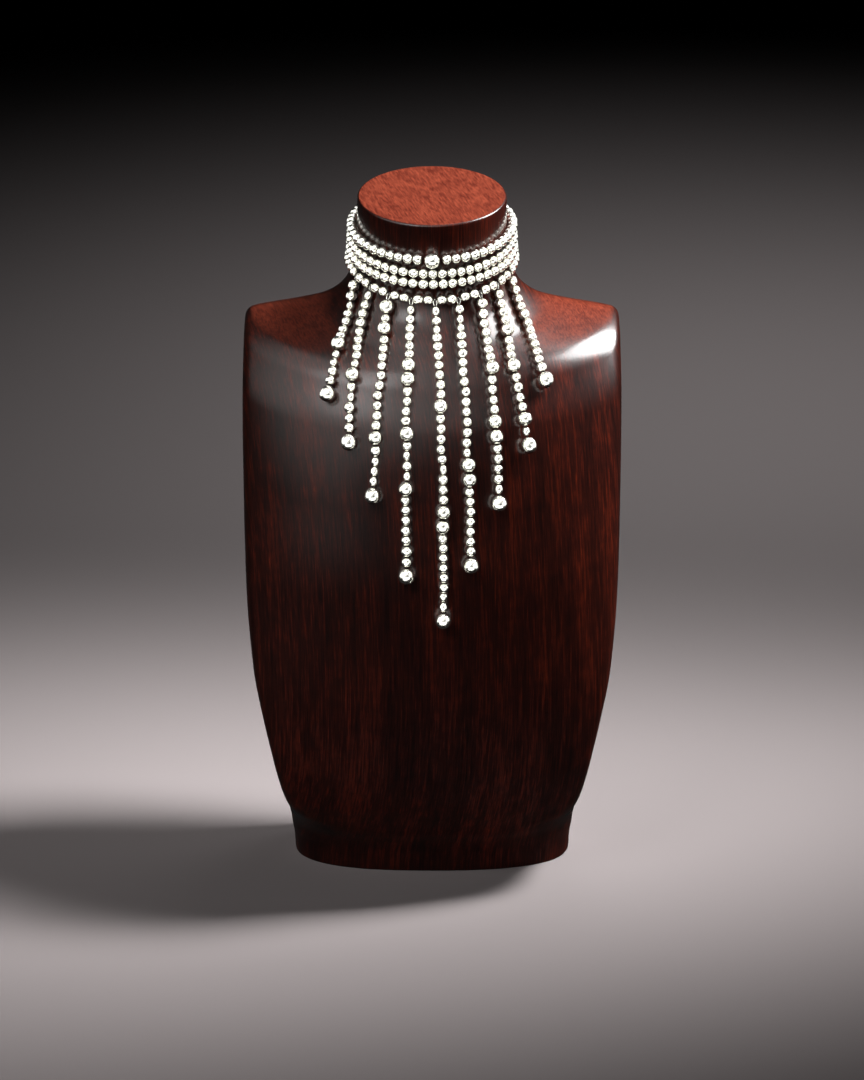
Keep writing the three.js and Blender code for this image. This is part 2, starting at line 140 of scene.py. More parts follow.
def meshPiece(name, points, faces, materials, nodes, materialOf=None):
    # one visible piece that rides on the body and stands in for the solids of these nodes
    mesh = bpy.data.meshes.new(name)
    mesh.from_pydata((np.asarray(points) * metre).tolist(), [], faces)
    for material in materials:
        mesh.materials.append(material)
    mesh.shade_smooth()
    if materialOf is not None:
        mesh.polygons.foreach_set("material_index", materialOf)
    piece = bpy.data.objects.new(name, mesh)
    bpy.context.scene.collection.objects.link(piece)
    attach(piece, "root")
    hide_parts(*nodes)
    return piece


# Neck bust: a smooth carved form, with its sides cut to an outline
bust = {
    "height": 460,  # floor to the middle of the sloping neck top
    "neckRadius": 49.8,
    "neckSetback": 34,
    "neckSlope": 8,  # degrees
    "shoulderSlope": 14,  # degrees
    "shoulderHalfWidth": 126.5,
    "footHalfWidth": 96.5,
    "footHalfDepth": 45,
    "chestReach": 92,
    "backReach": 93,
    "ridgeRound": 9,  # how softly the shoulders turn from front to back
    "sideRound": 5,  # rounding of the edges between the form and its cut sides
    "topRound": 1.5,
    "topInsets": (1.5, 5, 12, 22, 32, 42),  # rings on the flat of the neck top
    "footRound": 1.5,
    "footClear": 2.2,  # rounds above the floor where the wall's own rings begin
    "edgeSteps": 6,  # rings in the rounding of the neck top
    "footSteps": 4,
    "sides": 320,
    "levels": 262,
    "fineLevels": 3000,  # a fine, narrow copy of the form measures how far apart the levels should be
    "fineSides": 48,
    "steepShare": 0.6,  # how much the steepest side of a level counts beside the mean
    "halvings": 24,  # of the search for the surface between the middle and the form
    "leastAcross": 0.05,
}


def formTable():
    # the carved form before its sides are cut, with lengths as shares of the bust's own sizes
    h, n, m = bust["height"], bust["neckRadius"], bust["neckSetback"]
    w, f, d = bust["shoulderHalfWidth"], bust["footHalfWidth"], bust["footHalfDepth"]
    c, b, s, t = bust["chestReach"], bust["backReach"], bust["shoulderSlope"], bust["neckSlope"]
    # height, halfWidth, middle, front, back, fullness, slope, nape
    return np.array([
        (0, f, 0, -d, d, 2.5, 0, 0),
        (0.03 * h, 1.02 * f, 0, -1.05 * d, 1.0 * d, 2.5, 0, 0),
        (0.075 * h, 1.25 * f, -0.04 * c, -0.63 * c, 1.01 * d, 2.4, 0, 0),
        (0.13 * h, 1.12 * w, -0.08 * c, -0.79 * c, 1.03 * d, 2.3, 0, 0),
        (0.2 * h, 1.2 * w, -0.1 * c, -0.92 * c, 0.54 * b, 2.3, 0, 0),
        (0.34 * h, 1.2 * w, -0.03 * c, -1.0 * c, 0.62 * b, 2.2, 0.1 * s, 0),
        (0.48 * h, 1.2 * w, 0.08 * c, -0.98 * c, 0.75 * b, 2.1, 0.3 * s, 0),
        (0.63 * h, 1.2 * w, 0.22 * c, -0.88 * c, 0.89 * b, 2.0, 0.6 * s, -0.2 * s),
        (0.75 * h, 1.17 * w, 0.35 * c, -0.74 * c, 0.97 * b, 1.95, 0.85 * s, -0.7 * s),
        (0.81 * h, 1.08 * w, 1.1 * m, -0.6 * c, 1.0 * b, 1.9, s, -s),
        (0.828 * h, 0.98 * w, 1.14 * m, -0.53 * c, 1.0 * b, 1.9, s, -s),
        (0.84 * h, 0.74 * w, 1.16 * m, -0.47 * c, 1.0 * b, 1.9, s, -s),
        (0.848 * h, 1.51 * n, 1.17 * m, -0.42 * c, 0.99 * b, 1.95, s, -0.9 * s),
        (0.857 * h, 1.32 * n, 1.17 * m, 1.17 * m - 1.45 * n, 0.985 * b, 2, 0.97 * s, -0.7 * s),
        (0.87 * h, 1.18 * n, 1.16 * m, 1.16 * m - 1.24 * n, 1.16 * m + 1.05 * n, 2, 0.92 * s, -0.3 * s),
        (0.887 * h, 1.09 * n, 1.14 * m, 1.14 * m - 1.1 * n, 1.14 * m + 1.04 * n, 2, 0.85 * s, 0.3 * s),
        (0.905 * h, 1.045 * n, 1.12 * m, 1.12 * m - 1.045 * n, 1.12 * m + 1.03 * n, 2, 1.35 * t, 0.9 * t),
        (0.93 * h, 1.02 * n, 1.08 * m, 1.08 * m - 1.02 * n, 1.08 * m + 1.02 * n, 2, 1.2 * t, t),
        (h, n, m, m - n, m + n, 2, t, t),
    ])


def cutTable():
    # the outline that the sides are cut to, as a rounded rectangle at each height
    h, w, f = bust["height"], bust["shoulderHalfWidth"], bust["footHalfWidth"]
    d, b = bust["footHalfDepth"], bust["backReach"]
    # height, halfWidth, reach, fullness
    return np.array([
        (-0.01 * h, 1.0 * f, 1.03 * d, 2.5),
        (0.02 * h, 1.0 * f, 1.09 * d, 2.5),
        (0.05 * h, 1.01 * f, 1.2 * d, 2.5),
        (0.08 * h, 1.03 * f, 1.45 * d, 2.8),
        (0.11 * h, 0.803 * w, 0.95 * b, 3.3),
        (0.15 * h, 0.82 * w, 1.25 * b, 4.5),
        (0.2 * h, 0.851 * w, 1.6 * b, 6.5),
        (0.26 * h, 0.897 * w, 1.8 * b, 9),
        (0.34 * h, 0.95 * w, 1.9 * b, 12),
        (0.46 * h, 0.984 * w, 1.9 * b, 12),
        (0.6 * h, 0.995 * w, 1.9 * b, 12),
        (0.73 * h, 1.0 * w, 1.9 * b, 12),
        (0.86 * h, 0.997 * w, 1.9 * b, 12),
        (1.05 * h, 0.997 * w, 1.9 * b, 12),
    ])


def columnsAt(table, heights):
    # smooth values of a table's columns at many heights, without overshoot between its rows
    known, values = table[:, 0], table[:, 1:]
    slopes = np.diff(values, axis=0) / np.diff(known)[:, None]
    before, after = slopes[:-1], slopes[1:]
    product, total = before * after, before + after
    inner = np.where(product > 0, 2 * product / np.where(product > 0, total, 1), 0)
    tangents = np.vstack([slopes[:1], inner, slopes[-1:]])
    heights = np.clip(heights, known[0], known[-1])
    i = np.clip(np.searchsorted(known, heights, side="right") - 1, 0, len(known) - 2)
    span = (known[i + 1] - known[i])[..., None]
    t = (heights - known[i])[..., None] / span
    return (
        values[i] * (1 + 2 * t) * (1 - t) ** 2
        + values[i + 1] * t * t * (3 - 2 * t)
        + span * (tangents[i] * t * (1 - t) ** 2 - tangents[i + 1] * t * t * (1 - t))
    )


def formRings(heights, sides):
    # the form's sections as rings about their middles, and how each ring rises from front to back
    columns = columnsAt(formTable(), heights)[:, None, :]
    halfWidth, middle, front, back, fullness, slope, nape = np.moveaxis(columns, 2, 0)
    turn = np.linspace(0, 2 * math.pi, sides, endpoint=False)[None, :]
    c, s = np.cos(turn), np.sin(turn)
    depth = np.where(s < 0, middle - front, back - middle)
    x = np.sign(c) * np.abs(c) ** (2 / fullness) * halfWidth
    u = np.sign(s) * np.abs(s) ** (2 / fullness) * depth
    return x, u, middle, riseOf(slope, nape), heights[:, None]


def riseOf(slope, nape):
    # a section rises by one slope in front and by another behind, with a soft turn between them
    a, b = np.tan(np.radians(slope)), np.tan(np.radians(nape))
    w = bust["ridgeRound"]
    return lambda u: (a + b) / 2 * u + (b - a) / 2 * (np.sqrt(u * u + w * w) - w / 2)


def cutDistance(x, y, z):
    # how far outside the side cut a point lies
    halfWidth, reach, fullness = np.moveaxis(columnsAt(cutTable(), z), -1, 0)
    a, b = np.abs(x) / halfWidth, np.abs(y) / reach
    gauge = (a ** fullness + b ** fullness) ** (1 / fullness)
    steep = np.hypot((a / gauge) ** (fullness - 1) / halfWidth, (b / gauge) ** (fullness - 1) / reach)
    return (gauge - 1) / steep


def evenLevels(count):
    # levels that step the surface on by about the same length
    top = bust["height"] - bust["topRound"]
    fine = np.linspace(0, top, bust["fineLevels"])
    x, u, middle, rise, z = formRings(fine, bust["fineSides"])
    x = np.clip(x, -bust["shoulderHalfWidth"], bust["shoulderHalfWidth"])
    points = np.stack([x, u + middle, z + rise(u)], -1)
    step = np.linalg.norm(np.diff(points, axis=0), axis=2)
    way = np.concatenate([[0], np.cumsum(step.mean(1) + bust["steepShare"] * step.max(1))])
    return np.interp(np.linspace(0, way[-1], count), way, fine)


def bustPoints():
    # rings of the wall: each point is drawn in along its ray to where the form meets its side cut
    heights = evenLevels(bust["levels"])
    x, u, middle, rise, z = formRings(heights, bust["sides"])
    outer = np.stack([x, u + middle, z + rise(u)], -1)
    around = np.roll(outer, -1, 1) - np.roll(outer, 1, 1)
    upwards = np.gradient(outer, axis=0)
    normal = np.cross(around, upwards)
    normal /= np.linalg.norm(normal, axis=2, keepdims=True)
    reach = np.hypot(x, u)
    across = np.abs(normal[..., 0] * x + normal[..., 1] * u) / reach
    edge = bust["sideRound"]
    low, high = np.zeros_like(x), np.ones_like(x)
    for _ in range(bust["halvings"]):
        share = (low + high) / 2
        form = (share - 1) * reach * np.maximum(across, bust["leastAcross"])
        side = cutDistance(share * x, share * u + middle, z + rise(share * u))
        blend = np.maximum(edge - np.abs(form - side), 0) / edge
        inside = np.maximum(form, side) + blend * blend * edge / 4 < 0
        low, high = np.where(inside, share, low), np.where(inside, high, share)
    return np.stack([low * x, low * u + middle, z + rise(low * u)], -1)


def shrunkRing(ring, inset, lift):
    # a copy of a ring, drawn in on all sides and lifted
    middle = ring.mean(0)
    spread = ring - middle
    away = np.linalg.norm(spread[:, :2], axis=1, keepdims=True)
    smaller = middle + spread * np.maximum(1 - inset / away, 0)
    smaller[:, 2] += lift
    return smaller


def bustRings():
    # the wall, the rounded edge and the flat of the neck top, and the rounded edge of the foot
    rings = list(bustPoints())
    top, r, steps = rings[-1], bust["topRound"], bust["edgeSteps"]
    for step in range(1, steps + 1):
        turn = math.pi / 2 * step / steps
        rings.append(shrunkRing(top, r * (1 - math.cos(turn)), r * math.sin(turn)))
    crown = rings[-1]
    for inset in bust["topInsets"]:
        rings.append(shrunkRing(crown, inset, 0))
    foot, r, steps = rings[0].copy(), bust["footRound"], bust["footSteps"]
    rings = [ring for ring in rings if ring[:, 2].min() > bust["footClear"] * r]
    for step in range(steps + 1):
        turn = math.pi / 2 * step / steps
        rings.insert(0, shrunkRing(foot, r * (1 - math.cos(turn)), r * (1 - math.sin(turn))))
    return rings


def loftFaces(rings, sides):
    # four-sided faces between rings, and a fan to the middle point of each end, which come after the rings
    i = np.arange(sides)
    j = (i + 1) % sides
    walls = [np.stack([r * sides + i, r * sides + j, (r + 1) * sides + j, (r + 1) * sides + i], 1)
             for r in range(rings - 1)]
    faces = np.concatenate(walls).tolist()
    bottom = rings * sides
    faces += [[bottom, b, a] for a, b in zip(i.tolist(), j.tolist())]
    last = (rings - 1) * sides
    faces += [[bottom + 1, last + a, last + b] for a, b in zip(i.tolist(), j.tolist())]
    return faces


def mahoganyMaterial():
    # Stained mahogany under clear gloss lacquer: near black-brown with red ribbons and short
    # bright streaks along the grain, fine pores, and a glossy skin with a faint orange peel.
    grain = {
        "stops": [(0.42, "#260c08"), (0.52, "#40150d"), (0.62, "#6c2412"), (0.74, "#b84a20")],
        # lighter tones for faces that look up: partly the sawn end grain, partly painted light from above
        "endGrainAndToplitStops": [(0.4, "#6c281b"), (0.62, "#a54c35")],
        "endGrainAndToplitFrom": 0.86,  # how far a face looks up before it takes the lighter tone, partly the sawn end grain and partly painted light from above
        # millimetres across the grain and along it
        "ribbon": 16, "ribbonRun": 200,
        "streak": 1.3, "streakRun": 34,
        "fibre": 0.45, "fibreRun": 12,  # pores, drawn twice as coarse as real ones to show
        "sawn": 1.0, "sawnRun": 45,  # on the tops of the neck and the shoulders
        "mottle": 9,
        "peel": 1.6,
        "slant": 0.3,  # radians that the grain's layers are turned from the middle plane
        # how much of each pattern is mixed in
        "streakShare": 0.6, "mottleShare": 0.15, "fibreShare": 0.2, "sawnMottle": 0.22,
    }
    material, tree, surface = newMaterial("lacqueredMahogany")
    place = addNode(tree, "ShaderNodeTexCoord").outputs["Object"]

    def grainNoise(width, stretch, detail, roughness):
        stretched = addNode(tree, "ShaderNodeMapping", {
            "Vector": place, "Rotation": (0, 0, grain["slant"]), "Scale": stretch,
        }, vector_type="TEXTURE")
        return addNode(tree, "ShaderNodeTexNoise", {
            "Vector": stretched.outputs[0], "Scale": perMetre(width),
            "Detail": detail, "Roughness": roughness,
        }).outputs[0]

    # drawn out along the trunk and a little from front to back, and the sawn grain from front to back alone
    ribbons = grainNoise(grain["ribbon"], (1, 4, grain["ribbonRun"] / grain["ribbon"]), 2, 0.5)
    streaks = grainNoise(grain["streak"], (1, 8, grain["streakRun"] / grain["streak"]), 3, 0.6)
    fibres = grainNoise(grain["fibre"], (1, 8, grain["fibreRun"] / grain["fibre"]), 2, 0.5)
    sawn = grainNoise(grain["sawn"], (1, grain["sawnRun"] / grain["sawn"], 1), 3, 0.65)
    mottle = addNode(tree, "ShaderNodeTexNoise", {
        "Vector": place, "Scale": perMetre(grain["mottle"]), "Detail": 3, "Roughness": 0.6,
    }).outputs[0]
    half = addNode(tree, "ShaderNodeMix", {0: grain["streakShare"], 2: ribbons, 3: streaks})
    toned = addNode(tree, "ShaderNodeMix", {0: grain["mottleShare"], 2: half.outputs[0], 3: mottle})
    fine = addNode(tree, "ShaderNodeMix", {0: grain["fibreShare"], 2: toned.outputs[0], 3: fibres})
    ramp = addNode(tree, "ShaderNodeValToRGB", {0: fine.outputs[0]})
    setStops(ramp, grain["stops"])
    # painted light: the tops of the shoulders and the neck get a lighter tone, partly the sawn end grain
    # and partly painted light from above
    normal = addNode(tree, "ShaderNodeNewGeometry").outputs["Normal"]
    facing = addNode(tree, "ShaderNodeSeparateXYZ", {0: normal})
    upness = addNode(tree, "ShaderNodeMapRange", {
        0: facing.outputs[2], 1: grain["endGrainAndToplitFrom"], 2: 1.0, 3: 0, 4: 1,
    })
    across = addNode(tree, "ShaderNodeMix", {0: grain["sawnMottle"], 2: sawn, 3: mottle})
    endGrainAndToplit = addNode(tree, "ShaderNodeValToRGB", {0: across.outputs[0]})
    setStops(endGrainAndToplit, grain["endGrainAndToplitStops"])
    grainAndToplitTone = addNode(tree, "ShaderNodeMix", {
        0: upness.outputs[0], 6: ramp.outputs[0], 7: endGrainAndToplit.outputs[0],
    }, data_type="RGBA")
    peel = addNode(tree, "ShaderNodeTexNoise", {
        "Vector": place, "Scale": perMetre(grain["peel"]), "Detail": 1,
    }).outputs[0]
    skin = addNode(tree, "ShaderNodeBump", {"Height": peel, "Strength": 0.05, "Distance": 0.0004})
    pores = addNode(tree, "ShaderNodeBump", {"Height": fibres, "Strength": 0.25, "Distance": 0.0003})
    tree.links.new(grainAndToplitTone.outputs[2], surface.inputs["Base Color"])
    tree.links.new(pores.outputs[0], surface.inputs["Normal"])
    tree.links.new(skin.outputs[0], surface.inputs["Coat Normal"])
    setFinish(surface, {
        "Roughness": 0.34, "IOR": 1.5, "Specular IOR Level": 0.25,
        "Coat Weight": 1.0, "Coat Roughness": 0.18, "Coat IOR": 1.38,
    })
    return material


def makeBust():
    rings = bustRings()
    sides = bust["sides"]
    ends = [rings[0].mean(0), rings[-1].mean(0)]
    points = np.concatenate(rings + [np.array(ends)])
    faces = loftFaces(len(rings), sides)
    meshPiece("carved_bust", points, faces, [mahoganyMaterial()], ["neck_bust"])
    print("bust made:", len(points), "points")
    return BVHTree.FromPolygons(points.tolist(), faces)


wood = makeBust()


# Silver and thread
def silverMaterial():
    # Cast sterling silver, tumbled and polished: a soft white gloss, painted grey towards the holes as
    # painted shade where the beads meet.
    silver = {
        "bright": "#f6f5ec", "tarnish": "#6a6259",
        "scuff": 2.2, "hammer": 1.3,  # millimetres
        "smoothest": 0.2, "roughest": 0.28,
    }
    material, tree, surface = newMaterial("polishedSilver")
    place = addNode(tree, "ShaderNodeTexCoord").outputs["Object"]
    # painted shade where the beads meet and inside the holes, read from a point attribute
    paintedShadeMask = addNode(tree, "ShaderNodeAttribute", attribute_name="tarnish").outputs["Fac"]
    cloud = addNode(tree, "ShaderNodeTexNoise", {
        "Vector": place, "Scale": perMetre(silver["scuff"]), "Detail": 3, "Roughness": 0.6,
    }).outputs[0]
    tone = addNode(tree, "ShaderNodeMix", {
        0: paintedShadeMask, 6: toLinear(silver["bright"]), 7: toLinear(silver["tarnish"]),
    }, data_type="RGBA")
    rough = addNode(tree, "ShaderNodeMapRange", {
        0: cloud, 1: 0.35, 2: 0.75, 3: silver["smoothest"], 4: silver["roughest"],
    })
    hammered = addNode(tree, "ShaderNodeTexNoise", {
        "Vector": place, "Scale": perMetre(silver["hammer"]), "Detail": 1,
    }).outputs[0]
    dents = addNode(tree, "ShaderNodeBump", {"Height": hammered, "Strength": 0.03, "Distance": 0.0003})
    tree.links.new(tone.outputs[2], surface.inputs["Base Color"])
    tree.links.new(rough.outputs[0], surface.inputs["Roughness"])
    tree.links.new(dents.outputs[0], surface.inputs["Normal"])
    setFinish(surface, {"Metallic": 1.0})
    return material


def threadMaterial():
    # Waxed linen thread: dark and matt, with a twist of half a millimetre.
    material, tree, surface = newMaterial("waxedThread")
    place = addNode(tree, "ShaderNodeTexCoord").outputs["Object"]
    twist = addNode(tree, "ShaderNodeTexNoise", {
        "Vector": place, "Scale": perMetre(0.5), "Detail": 2,
    }).outputs[0]
    ramp = addNode(tree, "ShaderNodeValToRGB", {0: twist})
    setStops(ramp, [(0.3, "#17120f"), (0.7, "#3a312b")])
    tree.links.new(ramp.outputs[0], surface.inputs["Base Color"])
    setFinish(surface, {"Roughness": 0.7})
    return material


silverFinish = silverMaterial()
threadFinish = threadMaterial()

# Beads: cast nuggets, each a rounded block with a few soft hammered faces
bead = {
    "small": (6.6, 6.5),  # across the string, along it
    "slim": (5.2, 6.5),
    "stout": (7.9, 7.3),
    "large": (10.0, 9.4),
    "end": (11.4, 11.0),
    "front": (10.4, 10.2),
    "steps": 18,  # rings from hole to hole
    "sides": 26,
    "holeTurn": 84,  # degrees from the bead's waist to the rim of its hole
    "hole": 0.55,  # radius
    "holeDepth": 0.5,  # of the ring inside the rim
    "faces": 9,
    "faceDepth": (0.95, 1.02),  # a face's distance from the middle, as a share of the radius
    "endways": 0.6,  # how often a face looks towards a hole, where 1 is as often as to the sides
    "leastShare": 0.05,  # keeps the far side of a face from counting
    "sharp": 24,  # how crisply the faces meet
    "squareAcross": (2.0, 2.2),  # 2 is round, more is squarer
    "squareAlong": (2.0, 2.3),
    "taper": 0.09,  # how much thicker one end may be
    "flatten": 0.06,
    "frontCalm": 0.3,  # how much of this the front bead shows
    "tarnishFrom": 0.86,  # share of the half length where the painted shade by the holes begins
    "tarnishFade": 0.12,
    "thread": 0.5,  # radius
    "seat": 0.3,  # beads to the wood
    "gap": 0.3,  # between two pieces that meet on a string
    "overlap": 1.02,  # each bead is this much longer than its place
    "seed": 11,
}
rng = random.Random(bead["seed"])


def beadSphere():
    # directions of a bead's points about its middle, from hole to hole along z
    tilt = np.linspace(-1, 1, bead["steps"]) * math.radians(bead["holeTurn"])
    turn = np.linspace(0, 2 * math.pi, bead["sides"], endpoint=False)
    tilt, turn = np.meshgrid(tilt, turn, indexing="ij")
    directions = [np.cos(tilt) * np.cos(turn), np.cos(tilt) * np.sin(turn), np.sin(tilt)]
    return np.stack(directions, -1).reshape(-1, 3)


unitBead = beadSphere()
beadFaces = loftFaces(bead["steps"] + 2, bead["sides"])


def blockRadius(directions, turnAcross, squareAcross, squareAlong):
    # how far a rounded block reaches in each direction
    x = directions[:, 0] * math.cos(turnAcross) + directions[:, 1] * math.sin(turnAcross)
    y = directions[:, 1] * math.cos(turnAcross) - directions[:, 0] * math.sin(turnAcross)
    across = (np.abs(x) ** squareAcross + np.abs(y) ** squareAcross) ** (1 / squareAcross)
    return (across ** squareAlong + np.abs(directions[:, 2]) ** squareAlong) ** (-1 / squareAlong)


def nugget(across, along, calm=1.0):
    # one bead's points and its painted shade by the holes, with its hole along z, and calm below 1 keeps it
    # closer to round
    turnAcross = rng.uniform(0, math.pi / 2)
    squares = [rng.uniform(*bead["squareAcross"]), rng.uniform(*bead["squareAlong"])]
    radius = blockRadius(unitBead, turnAcross, *squares)
    sharp, most = bead["sharp"], bead["taper"]
    total = radius ** -sharp
    for _ in range(bead["faces"]):
        facing = Vector((rng.gauss(0, 1), rng.gauss(0, 1), rng.gauss(0, bead["endways"]))).normalized()
        depth = rng.uniform(*bead["faceDepth"])
        share = np.maximum(unitBead @ np.array(facing), bead["leastShare"]) / depth
        total = total + share ** sharp
    radius = total ** (-1 / sharp)
    points = unitBead * radius[:, None]
    taper = 1 + calm * rng.uniform(-most, most) * points[:, 2:3]
    points = points * np.hstack([taper, taper, np.ones_like(taper)])
    widest = np.hypot(points[:, 0], points[:, 1]).max()
    tallest = np.abs(points[:, 2]).max()
    points = points * np.array([across / 2 / widest, across / 2 / widest, along / 2 / tallest])
    points[:, 0] *= 1 - calm * rng.uniform(0, bead["flatten"])
    lower, upper, deep = holeRings(points)
    # painted shade: grey towards each hole, where a bead meets its neighbour, and full inside the holes
    endShare = np.abs(points[:, 2]) * 2 / along
    tarnish = np.clip((endShare - bead["tarnishFrom"]) / bead["tarnishFade"], 0, 1)
    tarnish = np.concatenate([np.ones(bead["sides"]), tarnish, np.ones(bead["sides"] + 2)])
    return np.concatenate([lower, points, upper, deep]), tarnish


def holeRings(points):
    # a ring inside each rim, a little deeper, and the two points that close the holes
    n = bead["sides"]
    made = []
    for ring in (points[:n], points[-n:]):
        middle = ring.mean(0)
        spread = ring - middle
        away = np.linalg.norm(spread, axis=1).mean()
        inner = middle + spread * bead["hole"] / max(away, bead["hole"])
        inner[:, 2] -= np.sign(middle[2]) * bead["holeDepth"]
        made.append(inner)
    deep = np.array([made[0].mean(0), made[1].mean(0)])
    return made[0], made[1], deep


def tubePoints(path, radius, sides=8):
    # rings of points round a path, without twist
    path = np.asarray(path)
    way = np.gradient(path, axis=0)
    way /= np.linalg.norm(way, axis=1, keepdims=True)
    side = np.cross(way[0], (0.3, 0.2, 0.93))  # any direction that no path sets out in
    rings = []
    for p, w in zip(path, way):
        side = side - w * (side @ w)
        side = side / np.linalg.norm(side)
        other = np.cross(w, side)
        turn = np.linspace(0, 2 * math.pi, sides, endpoint=False)[:, None]
        rings.append(p + radius * (np.cos(turn) * side + np.sin(turn) * other))
    return np.concatenate(rings + [path[:1], path[-1:]]), loftFaces(len(path), sides)


silverIndex, threadIndex = 0, 1  # in a string's list of materials


# stores the painted shade by the holes as a point attribute for the silver
def setPaintedEndShade(piece, values):
    layer = piece.data.attributes.new("tarnish", "FLOAT", "POINT")
    layer.data.foreach_set("value", values)


class Parts:
    # gathers the beads and threads of one piece
    def __init__(self):
        self.points, self.faces, self.tarnish, self.finish = [], [], [], []
        self.count = 0

    def add(self, points, faces, tarnish, finish):
        self.points.append(points)
        self.tarnish.append(tarnish)
        self.faces += [[v + self.count for v in face] for face in faces]
        self.finish += [finish] * len(faces)
        self.count += len(points)

    def addBead(self, middle, axis, outward, across, along, calm=1.0):
        points, tarnish = nugget(across, along, calm)
        axis = Vector(axis).normalized()
        side = Vector(outward).cross(axis).normalized()
        up = axis.cross(side)
        turned = points @ np.array([side, up, axis])
        self.add(turned + np.array(middle), beadFaces, tarnish, silverIndex)

    def addTube(self, path, radius, finish, sides=8):
        points, faces = tubePoints(path, radius, sides)
        self.add(points, faces, np.zeros(len(points)), finish)

    def makePiece(self, name, nodes):
        piece = meshPiece(name, np.concatenate(self.points), self.faces, [silverFinish, threadFinish],
                          nodes, self.finish)
        setPaintedEndShade(piece, np.concatenate(self.tarnish))


# Choker rows, from the top one down
rows = {
    "pitch": 7.6,  # one row to the next at the clasp
    "backShare": 0.974, "sideShare": 0.957, "frontShare": 0.9355,  # of the bust's height, for row 1
    "drop": [(0, 0, 0), (1, 1.1, 1.25), (2, 2.15, 2.2), (3, 3.15, 3.75)],  # pitches at back, side and front
    "claspWidth": 9,
    "across": (1.04, 1.12),  # each bead's size, as shares of a small one's
    "along": (0.94, 1.06),
    "axisShare": 1.1,  # of the neck's setback, for the axis that the rows turn about
    "outside": 200,  # from that axis to well outside the wood
    "samples": 361,  # points worked out round a row
    "smoothing": 5,  # points that each is averaged over
    "threadStep": 3,  # the thread runs through every third point
}
lastRow = len(rows["drop"]) - 1
fringe = {
    "turn": 2,  # degrees of the middle strand to the wearer's left of the front
    "pitch": 16.35,  # degrees between two strands round row 4
    "gap": 2.4,  # room in row 4 where a strand hangs
    "loop": 0.5,  # from row 4 to a strand's first bead
    "loopWire": 0.3,  # radius
    "loopHalfWidth": 1.15,
    "loopMiddle": 0.42,  # share of the way from the row's thread to the first bead
    "loopPoints": 24,
    "waves": [(0.55, 9.5), (0.3, 3.7)],  # how far a string wanders, over how many beads
    "step": 0.25,  # of the walk down the wood
    # each bead's size, as shares of its kind's
    "fineAcross": (1.05, 1.12), "boldAcross": (0.99, 1.03), "along": (0.98, 1.05), "end": (0.97, 0.98),
    # beads from the top (s small, t slim, m stout, L large), where the lower end lies to the side of the
    # bust's middle as a share of its half width, and how far the strand bows to the side, in beads
    "strands": [
        ("mmtssssLttss", -0.527, -0.2),
        ("tssmsssstLstmss", -0.42, -0.6),
        ("LsLssssssssssLmttt", -0.299, -0.25),
        ("tsssssLLssssLststLsssssms", -0.13, -0.25),
        ("tstsssssssLssssstsssLLsssssstt", 0.057, 0.3),
        ("sttsssssssssssstLLsssssss", 0.198, 0.25),
        ("mmsssssLssssLLsssst", 0.339, 0.45),
        ("ssssLsssLssssLt", 0.486, 0.1),
        ("ssssmsssssss", 0.572, 0.25),
    ],
}


def rowHeight(row, angle):
    # the row passes through its heights at the back, the sides and the front
    shares = (rows["backShare"], rows["sideShare"], rows["frontShare"])
    back, side, front = (
        bust["height"] * share - rows["pitch"] * drop for share, drop in zip(shares, rows["drop"][row])
    )
    turn = math.cos(angle)
    return side + (front - back) / 2 * turn + ((front + back) / 2 - side) * turn * turn


def neckPoint(angle, height):
    # the wood's surface and its normal, 0 at the front and 90 degrees at +X
    axis = Vector((0, rows["axisShare"] * bust["neckSetback"], height))
    away = Vector((math.sin(angle), -math.cos(angle), 0))
    spot, normal, _, _ = wood.ray_cast(axis + away * rows["outside"], -away)
    return spot, normal


def rowPoint(row, angle, across=bead["small"][0]):
    spot, normal = neckPoint(angle, rowHeight(row, angle))
    return spot + normal * (across / 2 + bead["seat"])


def rowPath(row, start, end):
    # angles round the neck and the row's points there, smoothed a little along the row
    angles = np.linspace(start, end, rows["samples"])
    raw = np.array([rowPoint(row, a) for a in angles])
    width = rows["smoothing"]
    padded = np.pad(raw, ((width // 2, width // 2), (0, 0)), mode="edge")
    kernel = np.ones(width) / width
    return angles, np.stack([np.convolve(padded[:, i], kernel, "valid") for i in range(3)], 1)


class Way:
    # a path that can be asked for the point and direction at a length along it
    def __init__(self, points):
        self.points = np.asarray(points)
        steps = np.linalg.norm(np.diff(self.points, axis=0), axis=1)
        self.lengths = np.concatenate([[0], np.cumsum(steps)])
        self.length = self.lengths[-1]

    def at(self, length):
        return np.array([np.interp(length, self.lengths, self.points[:, i]) for i in range(3)])

    def along(self, length, reach=0.4):
        step = self.at(length + reach) - self.at(length - reach)
        return step / np.linalg.norm(step)


def outwardAt(point):
    _, normal, _, _ = wood.find_nearest(Vector(point))
    return normal


def stringBeads(parts, way, start, end, sizes):
    # beads that fill a stretch of a way, each touching the next
    total = sum(along for _, along in sizes)
    fit = (end - start) / total
    place = start
    for across, along in sizes:
        length = along * fit
        middle = place + length / 2
        point = way.at(middle)
        parts.addBead(point, way.along(middle), outwardAt(point), across, length * bead["overlap"])
        place += length


def rowSizes(length):
    across, along = bead["small"]
    count = round(length / along)
    return [
        (across * rng.uniform(*rows["across"]), along * rng.uniform(*rows["along"]))
        for _ in range(count)
    ]


# half the turn round the neck that the clasp and the front bead take up, in radians
claspHalf = (rows["claspWidth"] / 2 + bead["gap"]) / bust["neckRadius"]
frontHalf = (bead["front"][1] / 2 + bead["gap"]) / bust["neckRadius"]
strandCount = len(fringe["strands"])


def strandAngle(index):
    return math.radians(fringe["turn"] + (index - strandCount // 2) * fringe["pitch"])


